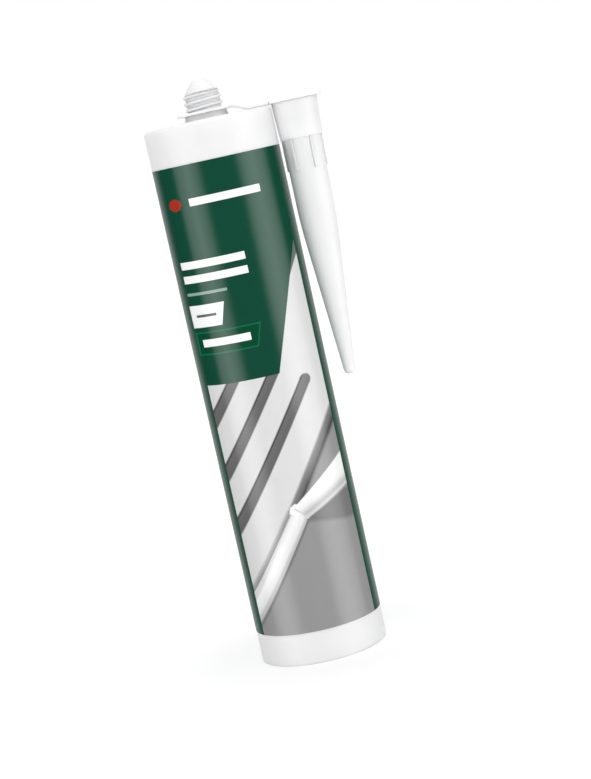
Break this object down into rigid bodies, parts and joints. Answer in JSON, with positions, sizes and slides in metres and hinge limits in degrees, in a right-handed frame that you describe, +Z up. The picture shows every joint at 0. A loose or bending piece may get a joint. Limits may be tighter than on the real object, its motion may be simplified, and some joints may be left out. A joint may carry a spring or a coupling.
{
  "type": "caulk tube",
  "caption": "Upright sealant cartridge: open-tailed barrel with wrap label, piston and fill inside, closed threaded neck, and a spare tapered nozzle hung beside it on a strap and ring.",
  "frame": {"origin": "centre of the open tail, in the plane of the tail rim that the tube stands on", "axes": "+Z up the barrel's axis, from the tail to the neck; +X from the barrel's axis to the hanging nozzle; the label's picture panel faces -Y"},
  "size_m": [0.0703, 0.0503, 0.2275],
  "materials": {
    "white_moulding": "satin white polyethylene",
    "label_film": "glossy printed film, dark green with a pale grey panel",
    "piston_plastic": "natural polyethylene",
    "sealant_paste": "smooth uncured silicone"
  },
  "bodies": {
    "tube": {"cartridge": "white_moulding", "label": "label_film", "sealant": "sealant_paste"},
    "piston": {"piston": "piston_plastic"},
    "nozzle": {"nozzle": "white_moulding"}
  },
  "joints": [
    {"name": "piston_slide", "type": "slide", "parent": "tube", "child": "piston", "axis": [0, 0, 1], "range_m": [0, 0.18], "deforming": ["sealant"]},
    {"name": "nozzle_swivel", "type": "hinge", "parent": "tube", "child": "nozzle", "pos_m": [0, 0, 0.215], "axis": [0, 0, 1], "continuous": true}
  ]
}
